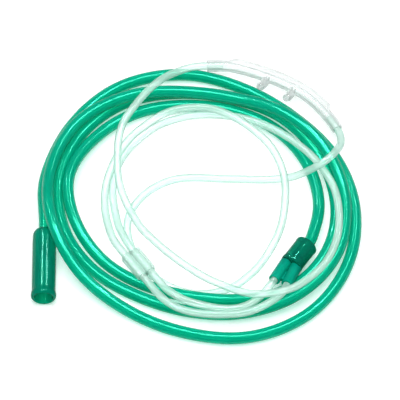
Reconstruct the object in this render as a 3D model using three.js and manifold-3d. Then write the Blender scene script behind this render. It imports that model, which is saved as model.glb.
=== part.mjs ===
// Nasal oxygen cannula: a coiled supply tube with its push-on end connector, a Y connector, two clear
// head tubes held together by a slide, and the curved face piece with its two nasal prongs.
// Millimetres, +Z up, +Y away from the viewer. The tubing lies on the plane z = 0.
import * as THREE from 'three';
import { mergeVertices } from 'three/addons/utils/BufferGeometryUtils.js';
import Module from 'manifold-3d';

const wasm = await Module();
wasm.setup();

// Tubing
const SUPPLY_DIAMETER = 5.5;
const SUPPLY_SIDES = 10;
const SUPPLY_STEPS = 80;
const HEAD_DIAMETER = 3.5;
const HEAD_SIDES = 8;
const HEAD_STEPS = 60;
const SOCKET_CLEARANCE = 0.3;

// How far a cut runs past the face that it opens.
const PAST = 1;

// End connector: a ribbed cup that pushes onto an oxygen outlet
const CUP_DIAMETER = 11.5;
const CUP_LENGTH = 36;
const CUP_RIBS = 16;
const CUP_RIB_HEIGHT = 0.45;
const CUP_RIB_WIDTH = 0.8;
const CUP_LIP_LENGTH = 2.2;
const CUP_SHOULDER = 2.6;
const CUP_BACK_WALL = 1.1;
const CUP_BORE_MOUTH = 8.6;
const CUP_BORE_FLOOR = 7.4;
const CUP_BORE_DEPTH = 22;
const CUP_LUMEN = 3.4;
const CUP_SOCKET_DEPTH = 10;
const CUP_EDGE = 0.4;
const CUP_AXIS_X = -70.7;
const CUP_BACK_Y = -15.2;
// The tube comes down towards the cup from this far behind its back, to the side and at this height,
// and is straight from the second distance on.
const CUP_APPROACH = 20;
const CUP_APPROACH_SIDE = -1.2;
const CUP_APPROACH_HEIGHT = 4.2;
const CUP_STRAIGHT = 9;

// Y connector
const COLLAR_DIAMETER = 10.7;
const COLLAR_LENGTH = 13.5;
const COLLAR_BEVEL = 0.7;
const COLLAR_SOCKET_DEPTH = 8;
const COLLAR_LUMEN = 3.2;
const COLLAR_FLOOR = 1.5;
const COLLAR_STRAIGHT = 11;
const COLLAR_TOP = new THREE.Vector3(48.6, -22.6, 5.5);
const COLLAR_DIRECTION = new THREE.Vector3(-0.545, -0.835, 0.075).normalize();
const BRANCH_WALL = 0.65;
const BRANCH_LUMEN = 2;
const BRANCH_LENGTH = 12;
const BRANCH_SOCKET_DEPTH = 9;
const BRANCH_ROOT_SPACING = 5;
const BRANCH_TIP_SPACING = 6.2;
const BRANCH_RISE = 2.8;
const BRANCH_TURN = 9;
const BRANCH_INSET = 3;
const BRANCH_LEAD = 2;

// Slide on the two head tubes
const SLIDE_LENGTH = 13;
const SLIDE_WALL = 0.5;
const SLIDE_BORE_SPACING = 4.4;
const SLIDE_EDGE = 0.4;
const SLIDE_TRAVEL = 4;
const SLIDE_LEAD = 1.5;
const SLIDE_CENTRE = new THREE.Vector3(-27.9, -34.6, 8.9);
const SLIDE_DIRECTION = new THREE.Vector3(-0.585, 0.811, 0);

// Face piece with the prongs
const FACE_WALL = 0.6;
const FACE_SIDES = 14;
const FACE_STEPS = 26;
// The share of the face piece's length that a head tube goes into it.
const FACE_SEAT = 0.1;
const PRONG_DIAMETER = 3.8;
const PRONG_BORE = 2.4;
const PRONG_STEPS = 7;
const PRONG_PLACES = [0.395, 0.585];
const PRONG_BEND = [[0, 0, 0], [-1.2, -3.0, 0.4], [-2.2, -5.6, 1.6], [-3.1, -7.6, 3.6], [-3.6, -8.8, 5.6]];

// The loose coil lies round this point of the part's own frame.
const COIL_CENTRE = new THREE.Vector3(5.5, -12.3, 0);

const HEAD_BORE = HEAD_DIAMETER + 2 * SOCKET_CLEARANCE;
const SUPPLY_BORE = SUPPLY_DIAMETER + 2 * SOCKET_CLEARANCE;
const CUP_AXIS_Z = CUP_DIAMETER / 2;
const SLIDE_STRAIGHT = SLIDE_LENGTH / 2 + SLIDE_TRAVEL + SLIDE_LEAD;

const greenTubing = new THREE.MeshStandardMaterial({ color: 0x12a374, roughness: 0.25, metalness: 0 });
const greenFitting = new THREE.MeshStandardMaterial({ color: 0x0b7350, roughness: 0.3, metalness: 0 });
const clearTubing = new THREE.MeshStandardMaterial({
  color: 0xdff2ea, roughness: 0.15, metalness: 0, transparent: true, opacity: 0.45,
});
const clearFitting = new THREE.MeshStandardMaterial({
  color: 0xe6f5ef, roughness: 0.15, metalness: 0, transparent: true, opacity: 0.5,
});

// Solids

function toSolid(geometry) {
  const bare = new THREE.BufferGeometry();
  bare.setAttribute('position', geometry.getAttribute('position').clone());
  if (geometry.index) bare.setIndex(geometry.index.clone());
  const merged = mergeVertices(bare, 1e-4);
  const index = merged.index.array;
  const kept = [];
  for (let i = 0; i < index.length; i += 3) {
    const [a, b, c] = [index[i], index[i + 1], index[i + 2]];
    if (a !== b && b !== c && c !== a) kept.push(a, b, c);
  }
  return new wasm.Manifold(new wasm.Mesh({
    numProp: 3,
    vertProperties: new Float32Array(merged.getAttribute('position').array),
    triVerts: new Uint32Array(kept),
  }));
}

function toGeometry(solid) {
  const mesh = solid.getMesh();
  const geometry = new THREE.BufferGeometry();
  geometry.setAttribute('position', new THREE.BufferAttribute(new Float32Array(mesh.vertProperties), 3));
  geometry.setIndex(new THREE.BufferAttribute(new Uint32Array(mesh.triVerts), 1));
  geometry.computeVertexNormals();
  return geometry;
}

function polygon(radius, sides) {
  const shape = new THREE.Shape();
  for (let i = 0; i < sides; i++) {
    const angle = (2 * Math.PI * i) / sides;
    const point = [radius * Math.cos(angle), radius * Math.sin(angle)];
    if (i === 0) shape.moveTo(...point);
    else shape.lineTo(...point);
  }
  shape.closePath();
  return shape;
}

function sweep(curve, diameter, sides, steps) {
  return new THREE.ExtrudeGeometry(polygon(diameter / 2, sides), { steps, extrudePath: curve });
}

// The radius whose polygon keeps its flats outside the round of that diameter.
function clearOf(diameter, sides) {
  return diameter / Math.cos(Math.PI / sides);
}

function smooth(points) {
  return new THREE.CatmullRomCurve3(points, false, 'centripetal');
}

function lathe(profile, segments) {
  return new THREE.LatheGeometry(profile.map(([r, y]) => new THREE.Vector2(r, y)), segments);
}

// Turns a shape made along +Y so that it points along a direction, and moves it to a place.
function aim(geometry, direction, place) {
  const turn = new THREE.Quaternion().setFromUnitVectors(new THREE.Vector3(0, 1, 0), direction);
  return geometry.applyQuaternion(turn).translate(place.x, place.y, place.z);
}

// A round bar along a direction, from a place on its axis.
function bar(diameter, length, direction, place, sides = 24) {
  const round = new THREE.CylinderGeometry(diameter / 2, diameter / 2, length, sides);
  return toSolid(aim(round, direction, place.clone().addScaledVector(direction, length / 2)));
}

// Supply tube

// [radius, height] of the coil's centre line at every 24 degrees, counter-clockwise from the +X side.
const COIL_STEP = 24;
const COIL = [
  [54.8, 2.95], [54.5, 2.95], [54.5, 2.95], [54.0, 2.95], [55.0, 2.95],
  [58.6, 2.95], [60.4, 4.4], [61.9, 7.4], [57.9, 7.0], [53.2, 3.4],
  [49.4, 2.95], [50.4, 5.9], [53.6, 3.8], [60.4, 2.95], [63.0, 2.95],
  [62.5, 2.95], [60.8, 4.8], [59.2, 7.4], [60.2, 3.2], [61.9, 2.95],
  [66.0, 2.95], [67.2, 2.95], [66.2, 2.95], [63.5, 2.95], [59.7, 2.95],
  [56.0, 2.95], [56.6, 2.95], [60.6, 3.2], [66.8, 6.7], [68.6, 7.2],
  [66.5, 7.9], [63.3, 10.9], [58.6, 13.8], [57.2, 9.0], [58.8, 8.6],
  [65.0, 9.2], [70.4, 8.8], [70.2, 9.6], [69.0, 14.2], [67.2, 8.2],
  [65.2, 3.6], [67.9, 2.95], [73.6, 2.95], [76.0, 2.95], [74.2, 2.95],
  [70.8, 2.95], [67.4, 2.95], [64.8, 2.95], [66.9, 2.95], [72.3, 2.95],
  [75.0, 2.95], [73.7, 2.95], [72.7, 2.95],
];

function supplyRoute() {
  const points = [COLLAR_SOCKET_DEPTH - SOCKET_CLEARANCE, 0, -COLLAR_STRAIGHT / 2, -COLLAR_STRAIGHT].map(
    (along) => COLLAR_TOP.clone().addScaledVector(COLLAR_DIRECTION, along),
  );
  COIL.forEach(([radius, height], i) => {
    const angle = THREE.MathUtils.degToRad(i * COIL_STEP);
    points.push(new THREE.Vector3(radius * Math.cos(angle), radius * Math.sin(angle), height));
  });
  const cupBack = new THREE.Vector3(CUP_AXIS_X, CUP_BACK_Y, CUP_AXIS_Z);
  const approach = new THREE.Vector3(CUP_APPROACH_SIDE, CUP_APPROACH, CUP_APPROACH_HEIGHT - CUP_AXIS_Z);
  points.push(cupBack.clone().add(approach));
  [CUP_STRAIGHT, 0, SOCKET_CLEARANCE - CUP_SOCKET_DEPTH].forEach((back) => {
    points.push(new THREE.Vector3(0, back, 0).add(cupBack));
  });
  return smooth(points);
}

function supplyTube() {
  return sweep(supplyRoute(), SUPPLY_DIAMETER, SUPPLY_SIDES, SUPPLY_STEPS);
}

// End connector

function endConnector() {
  const core = CUP_DIAMETER / 2 - CUP_RIB_HEIGHT;
  const full = CUP_DIAMETER / 2;
  const back = SUPPLY_BORE / 2 + CUP_BACK_WALL;
  const segments = 32;
  const outside = [
    [0, 0],
    [back, 0],
    [(back + 2 * core) / 3, -CUP_SHOULDER * 0.3],
    [core, -CUP_SHOULDER],
    [core, -CUP_LENGTH + CUP_LIP_LENGTH + CUP_RIB_HEIGHT],
    [full, -CUP_LENGTH + CUP_LIP_LENGTH],
    [full, -CUP_LENGTH + CUP_EDGE],
    [full - CUP_EDGE, -CUP_LENGTH],
    [0, -CUP_LENGTH],
  ].reverse();
  let body = toSolid(lathe(outside, segments));
  const ribLength = CUP_LENGTH - CUP_SHOULDER - CUP_LIP_LENGTH;
  const ribDepth = 2 * CUP_RIB_HEIGHT;
  for (let i = 0; i < CUP_RIBS; i++) {
    const rib = new THREE.BoxGeometry(CUP_RIB_WIDTH, ribLength, ribDepth);
    rib.translate(0, -CUP_SHOULDER - ribLength / 2, full - ribDepth / 2);
    rib.rotateY((2 * Math.PI * (i + 0.5)) / CUP_RIBS);
    body = body.add(toSolid(rib));
  }
  const hollow = [
    [0, -CUP_LENGTH - PAST],
    [CUP_BORE_MOUTH / 2, -CUP_LENGTH - PAST],
    [CUP_BORE_MOUTH / 2, -CUP_LENGTH],
    [CUP_BORE_FLOOR / 2, -CUP_LENGTH + CUP_BORE_DEPTH],
    [CUP_LUMEN / 2, -CUP_LENGTH + CUP_BORE_DEPTH],
    [CUP_LUMEN / 2, -CUP_SOCKET_DEPTH],
    [clearOf(SUPPLY_BORE, segments) / 2, -CUP_SOCKET_DEPTH],
    [clearOf(SUPPLY_BORE, segments) / 2, PAST],
    [0, PAST],
  ];
  body = body.subtract(toSolid(lathe(hollow, segments)));
  return toGeometry(body).translate(CUP_AXIS_X, CUP_BACK_Y, CUP_AXIS_Z);
}

// Y connector

const COLLAR_BOTTOM = COLLAR_TOP.clone().addScaledVector(COLLAR_DIRECTION, COLLAR_LENGTH);

// The root, tip and direction of a branch: side -1 carries the left head tube and 1 the right one.
function branch(side) {
  const along = COLLAR_DIRECTION.clone().setZ(0).normalize();
  along.applyAxisAngle(new THREE.Vector3(0, 0, 1), THREE.MathUtils.degToRad(BRANCH_TURN));
  const sideways = new THREE.Vector3(-along.y, along.x, 0);
  const root = COLLAR_BOTTOM.clone().addScaledVector(sideways, (side * BRANCH_ROOT_SPACING) / 2);
  const tip = COLLAR_BOTTOM.clone().addScaledVector(along, BRANCH_LENGTH);
  tip.addScaledVector(sideways, (side * BRANCH_TIP_SPACING) / 2);
  tip.z += BRANCH_RISE;
  return { root, tip, direction: tip.clone().sub(root).normalize() };
}

function yConnector() {
  const radius = COLLAR_DIAMETER / 2;
  const outside = [
    [0, 0],
    [radius - COLLAR_BEVEL, 0],
    [radius, COLLAR_BEVEL],
    [radius, COLLAR_LENGTH - COLLAR_BEVEL],
    [radius - COLLAR_BEVEL, COLLAR_LENGTH],
    [0, COLLAR_LENGTH],
  ];
  let body = toSolid(aim(lathe(outside, 28), COLLAR_DIRECTION, COLLAR_TOP));
  const socketTop = COLLAR_TOP.clone().addScaledVector(COLLAR_DIRECTION, -PAST);
  let hollow = bar(clearOf(SUPPLY_BORE, 24), COLLAR_SOCKET_DEPTH + PAST, COLLAR_DIRECTION, socketTop);
  hollow = hollow.add(bar(COLLAR_LUMEN, COLLAR_LENGTH - COLLAR_FLOOR, COLLAR_DIRECTION, COLLAR_TOP));
  for (const side of [-1, 1]) {
    const { root, tip, direction } = branch(side);
    const start = root.clone().addScaledVector(direction, -BRANCH_INSET);
    const length = tip.distanceTo(start);
    body = body.add(bar(HEAD_BORE + 2 * BRANCH_WALL, length, direction, start));
    const socket = tip.clone().addScaledVector(direction, -BRANCH_SOCKET_DEPTH);
    hollow = hollow.add(bar(clearOf(HEAD_BORE, 24), BRANCH_SOCKET_DEPTH + PAST, direction, socket));
    hollow = hollow.add(bar(BRANCH_LUMEN, length - PAST, direction, start));
  }
  return toGeometry(body.subtract(hollow));
}

// Slide

// The line of a head tube's straight stretch through the slide: side -1 is the left tube and 1 the right.
function slideLine(side, along) {
  const sideways = new THREE.Vector3(-SLIDE_DIRECTION.y, SLIDE_DIRECTION.x, 0);
  return SLIDE_CENTRE.clone()
    .addScaledVector(sideways, (side * SLIDE_BORE_SPACING) / 2)
    .addScaledVector(SLIDE_DIRECTION, along);
}

function slide() {
  const outer = HEAD_BORE + 2 * SLIDE_WALL;
  const half = SLIDE_LENGTH / 2;
  const section = new THREE.Shape();
  section.absarc(SLIDE_BORE_SPACING / 2, 0, outer / 2, -Math.PI / 2, Math.PI / 2, false);
  section.absarc(-SLIDE_BORE_SPACING / 2, 0, outer / 2, Math.PI / 2, (3 * Math.PI) / 2, false);
  const block = new THREE.ExtrudeGeometry(section, {
    depth: SLIDE_LENGTH - 2 * SLIDE_EDGE,
    bevelEnabled: true,
    bevelThickness: SLIDE_EDGE,
    bevelSize: SLIDE_EDGE,
    bevelOffset: -SLIDE_EDGE,
    bevelSegments: 1,
    curveSegments: 12,
  });
  block.translate(0, 0, -half + SLIDE_EDGE);
  const frame = new THREE.Matrix4().makeBasis(
    new THREE.Vector3(-SLIDE_DIRECTION.y, SLIDE_DIRECTION.x, 0),
    new THREE.Vector3(0, 0, 1),
    SLIDE_DIRECTION.clone().negate(),
  );
  if (frame.determinant() < 0) frame.scale(new THREE.Vector3(1, 1, -1));
  block.applyMatrix4(frame).translate(SLIDE_CENTRE.x, SLIDE_CENTRE.y, SLIDE_CENTRE.z);
  let body = toSolid(block);
  for (const side of [-1, 1]) {
    const start = slideLine(side, -half - PAST);
    body = body.subtract(bar(clearOf(HEAD_BORE, 24), SLIDE_LENGTH + 2 * PAST, SLIDE_DIRECTION, start));
  }
  return toGeometry(body);
}

// Face piece

const FACE_POINTS = [
  [3.2, 73.1, 8], [13.7, 72.9, 8], [22.4, 70.5, 8], [31.4, 67.0, 8], [40.3, 62.6, 8],
  [49.2, 56.6, 8], [54.0, 51.6, 8], [58.2, 46.3, 8], [61.2, 42.0, 8], [63.2, 38.2, 8],
].map((p) => new THREE.Vector3(...p));

function faceRoute() {
  return smooth(FACE_POINTS);
}

// A prong leaves the face piece towards the coil, bends up and a little to the left.
function prongRoute(place) {
  const root = faceRoute().getPointAt(place);
  return smooth(PRONG_BEND.map(([x, y, z]) => new THREE.Vector3(root.x + x, root.y + y, root.z + z)));
}

function nasalProngPiece() {
  const outer = HEAD_BORE + 2 * FACE_WALL;
  let body = toSolid(sweep(faceRoute(), outer, FACE_SIDES, FACE_STEPS));
  for (const place of PRONG_PLACES) {
    body = body.add(toSolid(sweep(prongRoute(place), PRONG_DIAMETER, 12, PRONG_STEPS)));
  }
  const ends = FACE_POINTS.length - 1;
  const before = FACE_POINTS[0].clone().sub(FACE_POINTS[1]).setLength(PAST).add(FACE_POINTS[0]);
  const after = FACE_POINTS[ends].clone().sub(FACE_POINTS[ends - 1]).setLength(PAST).add(FACE_POINTS[ends]);
  const lumen = smooth([before, ...FACE_POINTS, after]);
  body = body.subtract(toSolid(sweep(lumen, clearOf(HEAD_BORE, FACE_SIDES), FACE_SIDES, FACE_STEPS)));
  for (const place of PRONG_PLACES) {
    const route = prongRoute(place);
    const tip = route.getPoint(1);
    const past = tip.clone().addScaledVector(route.getTangent(1), PAST);
    const bore = smooth([...route.getPoints(6), past]);
    body = body.subtract(toSolid(sweep(bore, PRONG_BORE, 10, PRONG_STEPS)));
  }
  return toGeometry(body);
}

// Head tubes

// Points between a branch of the Y connector and the slide, then between the slide and the face piece.
const LEFT_TO_SLIDE = [
  [28.4, -50.8, 9.2], [24.3, -55.0, 9.2], [19.7, -57.4, 8.9], [13.7, -58.4, 8.6], [6.9, -57.8, 8.6],
  [0.0, -56.4, 9.2], [-6.9, -54.8, 10.2], [-11.4, -51.9, 10.4], [-15.6, -48.4, 9.8],
];
const LEFT_TO_FACE = [
  [-34.4, -19.6, 7.6], [-36.4, -14.6, 5.4], [-38.0, -7.6, 3.4], [-39.2, -0.4, 2.2], [-40.0, 5.6, 1.9],
  [-40.0, 10.6, 1.9], [-39.2, 16.6, 2.2], [-37.6, 22.0, 2.8], [-35.4, 26.6, 3.6], [-31.8, 31.0, 4.8],
  [-27.4, 35.2, 5.8], [-22.8, 38.6, 6.8], [-18.2, 41.2, 7.6], [-13.6, 42.8, 8.2], [-6.8, 44.6, 8.8],
  [0.0, 45.2, 9.4], [6.8, 45.0, 9.8], [18.2, 43.2, 10.4], [28.2, 39.6, 10.8], [36.6, 34.6, 11.2],
  [41.0, 31.2, 11.6], [45.6, 27.0, 12.0], [50.2, 22.2, 12.2], [54.0, 17.6, 12.2], [56.8, 12.6, 12.2],
  [59.2, 8.8, 12.0], [61.4, 3.2, 11.8], [62.7, -2.6, 11.8], [63.2, -9.0, 12.2], [63.2, -13.2, 12.4],
  [62.9, -19.0, 12.6], [61.8, -24.6, 12.6], [60.0, -29.8, 12.6], [57.7, -34.8, 12.6],
  [53.6, -40.4, 12.8], [48.5, -45.6, 13.4], [44.9, -48.8, 14.0], [41.2, -51.2, 14.5], [36.6, -52.8, 14.8],
  [32.0, -53.6, 14.6], [27.4, -53.8, 14.0], [22.8, -52.8, 12.6], [18.2, -50.6, 11.0], [13.7, -48.2, 9.8],
  [9.2, -45.4, 8.9], [4.6, -43.2, 8.7], [0.0, -40.4, 8.9], [-4.6, -37.4, 9.4], [-9.2, -34.0, 9.8],
  [-16.4, -27.6, 9.9], [-23.0, -20.4, 9.4], [-26.6, -16.0, 8.8], [-29.4, -10.6, 8.2], [-32.0, -5.4, 8.0],
  [-34.4, -0.2, 8.8], [-36.2, 4.6, 10.4], [-37.4, 9.4, 12.0], [-37.8, 15.4, 13.0], [-37.8, 20.6, 13.6],
  [-37.4, 28.6, 14.2], [-36.2, 34.6, 14.8], [-34.2, 39.8, 15.2], [-31.6, 44.0, 15.4], [-29.0, 48.0, 15.2],
  [-25.2, 53.4, 15.2], [-20.6, 59.0, 14.4], [-16.0, 64.0, 12.6], [-11.5, 68.4, 9.6], [-6.9, 71.0, 8.8],
  [-2.3, 72.6, 8.2],
];
const RIGHT_TO_SLIDE = [
  [36.8, -51.8, 10.7], [32.0, -55.6, 10.6], [26.6, -59.0, 10.4], [20.6, -61.2, 10.1], [13.7, -62.0, 10.0],
  [6.9, -62.1, 10.0], [0.0, -61.5, 10.0], [-6.9, -60.0, 10.0], [-12.8, -57.0, 9.9], [-17.8, -52.4, 9.5],
];
const RIGHT_TO_FACE = [
  [-39.6, -20.8, 7.8], [-41.6, -13.4, 6.2], [-43.0, -6.4, 4.8], [-43.6, 0.0, 4.2], [-43.6, 6.0, 4.2],
  [-42.8, 11.8, 4.6], [-41.2, 17.0, 5.4], [-39.0, 22.4, 6.6], [-35.8, 27.8, 8.0], [-32.2, 32.6, 9.2],
  [-27.5, 36.6, 10.6], [-22.8, 39.8, 12.0], [-18.2, 42.6, 13.2], [-13.6, 44.4, 13.8], [-9.2, 45.6, 14.2],
  [-4.6, 46.0, 14.4], [0.0, 46.0, 14.6], [4.6, 45.4, 14.7], [9.2, 44.0, 14.8], [13.8, 41.6, 14.8],
  [18.4, 38.8, 14.8], [22.8, 35.4, 14.6], [27.4, 31.2, 14.2], [31.2, 27.2, 13.6], [34.4, 22.4, 12.6],
  [36.6, 17.8, 11.6], [38.2, 12.6, 10.4], [39.0, 7.6, 8.8], [39.0, 2.0, 7.2], [38.4, -4.2, 5.8],
  [37.4, -10.2, 4.6], [35.2, -16.6, 3.4], [32.0, -23.2, 2.5], [29.2, -28.0, 2.0], [25.2, -33.6, 1.8],
  [20.6, -38.2, 1.8], [16.9, -41.6, 1.8], [11.4, -44.4, 1.8], [4.6, -46.2, 1.8], [-2.2, -46.4, 1.8],
  [-9.0, -44.8, 1.8], [-16.0, -41.2, 1.8], [-22.4, -36.0, 1.8], [-27.6, -29.6, 1.8], [-31.0, -22.6, 1.8],
  [-33.0, -15.4, 1.8], [-33.2, -9.4, 1.8], [-32.4, -4.4, 1.8], [-30.6, 0.0, 1.8], [-27.4, 4.6, 1.8],
  [-22.9, 9.2, 1.8], [-18.2, 12.2, 1.8], [-13.6, 14.4, 1.8], [-9.2, 15.4, 1.8], [-4.6, 15.8, 1.9],
  [2.4, 15.6, 2.0], [9.2, 15.0, 2.2], [18.4, 14.4, 2.8], [25.2, 13.8, 3.4], [32.0, 13.2, 4.4],
];
// The right tube's last stretch climbs over the pile of supply tube and bends back to the face piece.
const RIGHT_LAST = [
  [38.8, 12.8, 6.0], [44.8, 12.6, 9.0], [49.2, 12.6, 12.6], [53.4, 13.2, 15.8], [57.2, 14.8, 17.6],
  [60.2, 17.6, 17.9], [62.6, 21.6, 16.6], [64.2, 26.0, 13.4], [64.8, 30.2, 10.6], [64.4, 34.6, 8.8],
];

function headRoute(side, toSlide, toFace, faceEnd, inward) {
  const { tip, direction } = branch(side);
  const seat = BRANCH_SOCKET_DEPTH - SOCKET_CLEARANCE;
  const points = [
    tip.clone().addScaledVector(direction, -seat),
    tip.clone().addScaledVector(direction, -seat / 2),
    tip.clone().addScaledVector(direction, BRANCH_LEAD),
    ...toSlide.map((p) => new THREE.Vector3(...p)),
    slideLine(side, -SLIDE_STRAIGHT),
    slideLine(side, -SLIDE_STRAIGHT / 2),
    slideLine(side, 0),
    slideLine(side, SLIDE_STRAIGHT / 2),
    slideLine(side, SLIDE_STRAIGHT),
    ...toFace.map((p) => new THREE.Vector3(...p)),
    faceEnd,
    inward,
  ];
  return smooth(points);
}

const intoLeftEnd = [FACE_POINTS[0].clone(), faceRoute().getPointAt(FACE_SEAT)];
const intoRightEnd = [FACE_POINTS.at(-1).clone(), faceRoute().getPointAt(1 - FACE_SEAT)];
const leftRoute = headRoute(-1, LEFT_TO_SLIDE, LEFT_TO_FACE, ...intoLeftEnd);
const rightRoute = headRoute(1, RIGHT_TO_SLIDE, [...RIGHT_TO_FACE, ...RIGHT_LAST], ...intoRightEnd);

function named(name, geometry, material) {
  const mesh = new THREE.Mesh(geometry, material);
  mesh.name = name;
  return mesh;
}

const cannula = new THREE.Group();
cannula.add(named('supply_tube', supplyTube(), greenTubing));
cannula.add(named('end_connector', endConnector(), greenFitting));
cannula.add(named('y_connector', yConnector(), greenFitting));
cannula.add(named('left_head_tube', sweep(leftRoute, HEAD_DIAMETER, HEAD_SIDES, HEAD_STEPS), clearTubing));
cannula.add(named('right_head_tube', sweep(rightRoute, HEAD_DIAMETER, HEAD_SIDES, HEAD_STEPS), clearTubing));
cannula.add(named('slide', slide(), clearFitting));
cannula.add(named('nasal_prong_piece', nasalProngPiece(), clearFitting));
cannula.position.copy(COIL_CENTRE);

export default cannula;
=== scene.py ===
"""Nasal oxygen cannula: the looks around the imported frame. Metres, +Z up, +Y away from the viewer."""

import math

import bpy
import numpy as np
from mathutils import Matrix, Vector


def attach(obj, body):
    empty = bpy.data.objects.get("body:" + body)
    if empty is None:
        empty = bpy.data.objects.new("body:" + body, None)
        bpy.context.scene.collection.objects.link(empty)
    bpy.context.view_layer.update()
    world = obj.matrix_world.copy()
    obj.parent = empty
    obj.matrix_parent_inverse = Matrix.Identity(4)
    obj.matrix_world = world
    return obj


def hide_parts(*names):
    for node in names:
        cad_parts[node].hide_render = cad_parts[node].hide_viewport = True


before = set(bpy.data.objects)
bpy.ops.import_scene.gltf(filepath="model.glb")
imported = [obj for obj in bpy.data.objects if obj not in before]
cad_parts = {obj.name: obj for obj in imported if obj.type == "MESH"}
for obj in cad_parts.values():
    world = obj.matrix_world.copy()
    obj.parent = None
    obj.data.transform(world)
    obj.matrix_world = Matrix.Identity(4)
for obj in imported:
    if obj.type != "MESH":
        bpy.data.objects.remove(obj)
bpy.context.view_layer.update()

TOLERANCE = 0.00001
SQUARE = ((-1, -1), (1, -1), (1, 1), (-1, 1))

# View
IMAGE_PIXELS = 400
METRES_PER_PIXEL = 0.000458
VIEW_ELEVATION = math.radians(58)
VIEW_DISTANCE = 2.5
VIEW_TARGET = Vector((0.0055, -0.00744, 0))
SENSOR = 36.0
CLIP_END = 100

# Tubing
SUPPLY_DIAMETER = 0.0055
SUPPLY_BORE = 0.0035
SUPPLY_SIDES = 24
SUPPLY_STEP = 0.0016
SUPPLY_EASE = 0.006
HEAD_DIAMETER = 0.0035
HEAD_SIDES = 18
HEAD_STEP = 0.0011
HEAD_EASE = 0.0022
SOCKET_CLEARANCE = 0.0003
SUPPLY_SEAT_CLEARANCE = 0.00006
CUT_PAST = 0.001

# End connector
CUP_DIAMETER = 0.0115
CUP_LENGTH = 0.036
CUP_RIBS = 16
CUP_RIB_HEIGHT = 0.00004
CUP_RIB_SHARPNESS = 0.8
CUP_RIB_FADE = 0.0016
CUP_RIB_GAP = 0.0006
CUP_RIB_POINTS = 16
CUP_SHOULDER = 0.0036
CUP_NECK_LAND = 0.0004
CUP_NECK_DROP = 0.00005
CUP_BARREL = 0.0109
CUP_BARREL_GAP = 0.0008
CUP_LIP_REACH = 0.0044
CUP_LIP_SLOPE = 0.0024
CUP_LIP_RADIUS = 0.0014
CUP_RIM_RADIUS = 0.0007
CUP_BORE_MOUTH = 0.0086
CUP_BORE_FLOOR = 0.0074
CUP_BORE_DEPTH = 0.022
CUP_BORE_LEAD = 0.0012
CUP_BORE_RUN = CUP_BORE_DEPTH - 0.002
CUP_FLOOR_RADIUS = 0.0006
CUP_LUMEN = 0.0034
CUP_SOCKET_DEPTH = 0.010
# Where its arcs start and end, in degrees from the radial direction
CUP_SHOULDER_TURN = (8, 90)
CUP_LIP_TURN = (0, -70)
CUP_RIM_TURN = (262, 180)
CUP_FLOOR_TURN = (0, 90)
CUP_AXIS = Vector((-0.0707, -0.0152, CUP_DIAMETER / 2))
CUP_APPROACH = Vector((-0.0012, 0.020, 0.0042 - CUP_DIAMETER / 2))
CUP_STRAIGHT = 0.009

# Y connector
COLLAR_DIAMETER = 0.0107
COLLAR_LENGTH = 0.0135
COLLAR_SOCKET_DEPTH = 0.008
COLLAR_LUMEN = 0.0032
COLLAR_LUMEN_START = 0.007
COLLAR_FLOOR = 0.0015
COLLAR_STRAIGHT = 0.003
COLLAR_LEAD = Vector((0.0526, -0.0122, 0.0046))
COLLAR_TOP = Vector((0.0486, -0.0226, 0.0055))
COLLAR_DIRECTION = Vector((-0.545, -0.835, 0.075)).normalized()
COLLAR_SIDES = 96
# (distance from the collar's end, what is added to its radius there)
COLLAR_RIM = [(0, -0.0005), (0.00015, -0.0002), (0.0005, 0), (0.0013, 0), (0.0015, -0.00015)]
BRANCH_DIAMETER = 0.0054
BRANCH_LENGTH = 0.012
BRANCH_SOCKET_DEPTH = 0.009
BRANCH_ROOT_SPACING = 0.005
BRANCH_TIP_SPACING = 0.0062
BRANCH_RISE = 0.0028
BRANCH_TURN = math.radians(9)
BRANCH_INSET = 0.003
BRANCH_LEAD = 0.002
BRANCH_TIP_EDGE = 0.0002
# What is added to a branch's radius at its start, its root, the edge of its tip and its tip
BRANCH_SWELL = (0.0002, 0.0001, 0, -0.00015)
BRANCH_SEAT_CLEARANCE = 0.00005
BRANCH_LUMEN = 0.002
BRANCH_LUMEN_OVERLAP = 0.0005
BRANCH_SIDES = 64
BRANCH_LUMEN_SIDES = 24
WEB_WIDTH = 0.0044
WEB_THICKNESS = 0.0018
# Where the web starts and ends, in shares of the way from the branches' roots to their tips
WEB_SPAN = (-0.1, 0.86)

# Slide
SLIDE_LENGTH = 0.013
SLIDE_HEIGHT = 0.0051
SLIDE_WIDTH = 0.0095
SLIDE_BORE_SPACING = 0.0044
SLIDE_BORE_CLEARANCE = 0.00016
SLIDE_STRAIGHT = 0.012
SLIDE_EDGE = 0.0003
SLIDE_SQUARENESS = 0.42
SLIDE_GROOVE_DEPTH = 0.1
SLIDE_GROOVE_WIDTH = 0.0006
SLIDE_SIDES = 96
SLIDE_BORE_SIDES = 40
SLIDE_CENTRE = Vector((-0.0279, -0.0346, 0.0089))
SLIDE_DIRECTION = Vector((-0.585, 0.811, 0)).normalized()
SLIDE_SIDEWAYS = Vector((-SLIDE_DIRECTION.y, SLIDE_DIRECTION.x, 0))

# Face piece: the cuffs, their rise, the seats and the prongs' places are shares of its length.
FACE_DIAMETER = 0.0053
FACE_STEP = 0.0005
FACE_FLARE = 0.0021
FACE_FLARE_ROUNDNESS = 0.7
FACE_FLARE_THINNING = 0.25
FACE_CUFF = 0.13
FACE_CUFF_RISE = 0.05
FACE_SEAT = 0.1
FACE_SEAT_CLEARANCE = 0.00008
FACE_VOXEL = 0.0002
FACE_SOFTENING = 4
FACE_SIDES = 40
FACE_BORE_SIDES = 28
PRONG_DIAMETER = 0.0038
PRONG_BORE = 0.0024
PRONG_STEP = 0.0003
PRONG_SIDES = 36
PRONG_ROOT_SWELL = 0.0005
PRONG_ROOT_SHARE = 0.28  # of the prong's length, as the tip's is
PRONG_TAPER = 0.00012
PRONG_TIP_ROUNDING = 0.0005
PRONG_TIP_SHARE = 0.55 / 10.5
PRONG_PLACES = (0.395, 0.585)
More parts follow.
